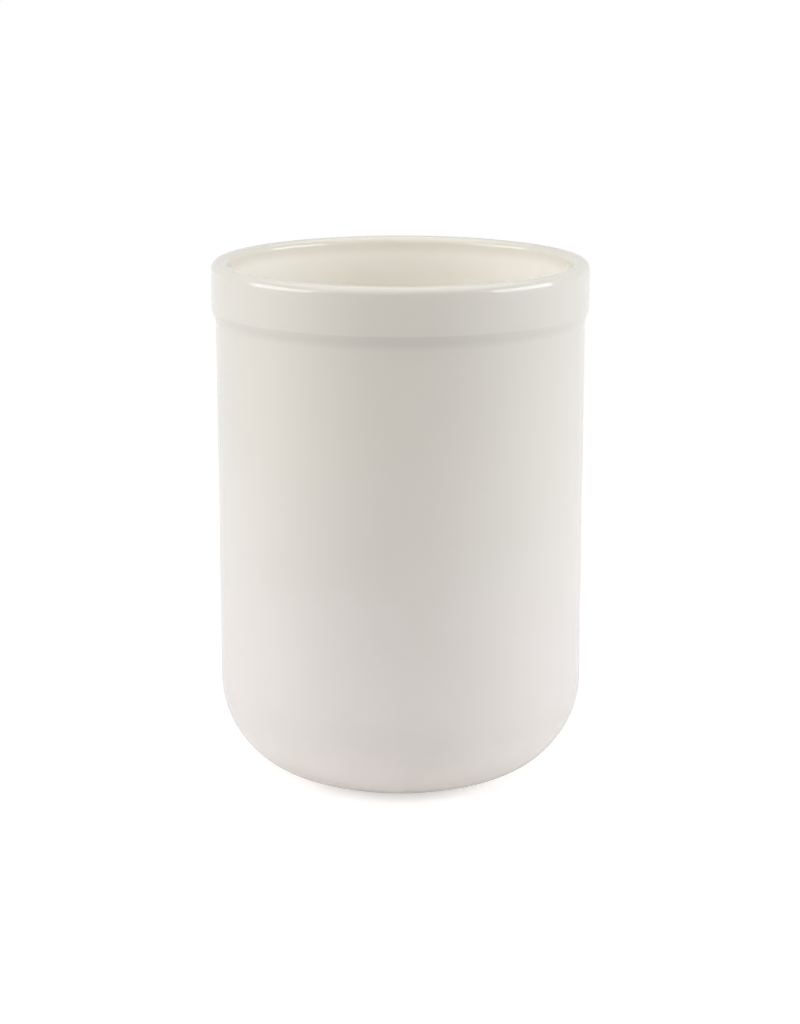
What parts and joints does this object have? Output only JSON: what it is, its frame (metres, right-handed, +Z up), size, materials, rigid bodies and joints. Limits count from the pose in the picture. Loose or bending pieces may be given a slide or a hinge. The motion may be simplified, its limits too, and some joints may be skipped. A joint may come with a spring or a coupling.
{
  "type": "utensil crock",
  "caption": "Straight-sided round stoneware crock with a raised collar at its rim and a rounded base, glazed inside and out, to stand cooking utensils in.",
  "frame": {"origin": "centre of the foot ring, on the surface that the crock stands on", "axes": "+Z up along the crock's axis towards its open rim; the crock is round, so X and Y are any two directions square to it"},
  "size_m": [0.127, 0.127, 0.1775],
  "materials": {
    "bare_stoneware": "matte",
    "ivory_glaze": "gloss"
  },
  "bodies": {
    "root": {"stoneware_body": "bare_stoneware", "inside_glaze": "ivory_glaze", "outside_glaze": "ivory_glaze", "underside_glaze": "ivory_glaze"}
  },
  "joints": []
}
